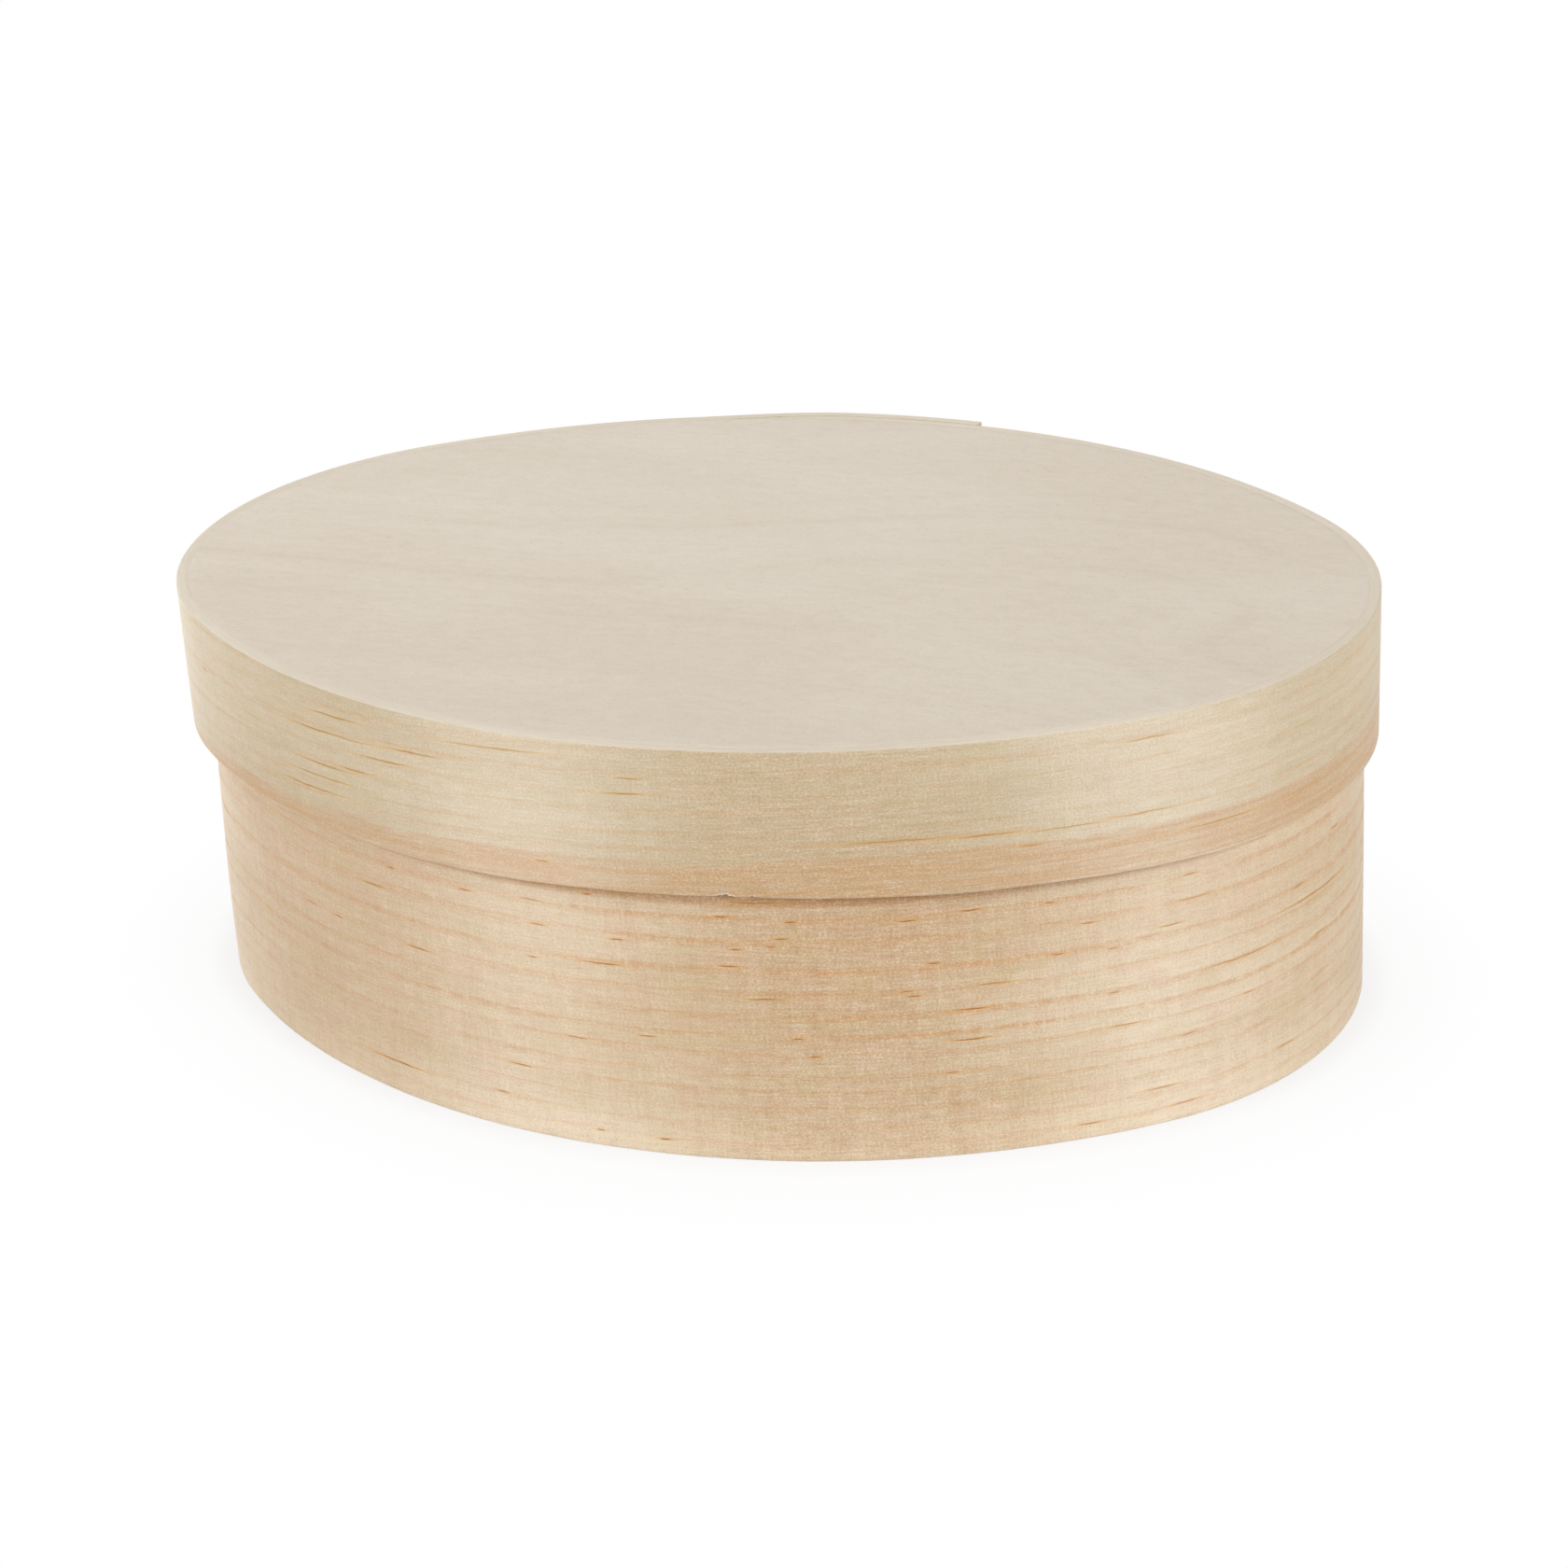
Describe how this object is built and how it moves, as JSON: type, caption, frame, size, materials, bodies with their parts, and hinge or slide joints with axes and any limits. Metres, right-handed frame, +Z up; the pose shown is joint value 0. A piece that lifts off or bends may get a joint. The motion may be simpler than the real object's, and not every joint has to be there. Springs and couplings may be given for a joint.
{
  "type": "oval bentwood cheese box",
  "caption": "Oval box bent from pine veneer, lapped and glued at the back, with flush glued-in panels and a close-fitting lift-off lid that slips down over the base.",
  "frame": {"origin": "middle of the base's underside, on the plane that the box stands on", "axes": "+X along the oval's length, +Y towards the back where the laps are, +Z up, the way the lid lifts off"},
  "size_m": [0.2, 0.152, 0.0685],
  "materials": {
    "base_veneer": "raw peeled pine veneer, pinkish growth rings parallel to the edges",
    "base_sheet": "raw sawn sheet, fine straight grain",
    "lid_veneer": "raw peeled pine veneer, straw yellow with fine resin dashes",
    "lid_sheet": "raw pale sheet, fine straight grain, lightly sanded"
  },
  "bodies": {
    "base": {"base_band": "base_veneer", "base_panel": "base_sheet"},
    "lid": {"lid_band": "lid_veneer", "lid_panel": "lid_sheet"}
  },
  "joints": [
    {"name": "lid_lift", "type": "slide", "parent": "base", "child": "lid", "axis": [0, 0, 1], "range_m": [0, 0.07]}
  ]
}
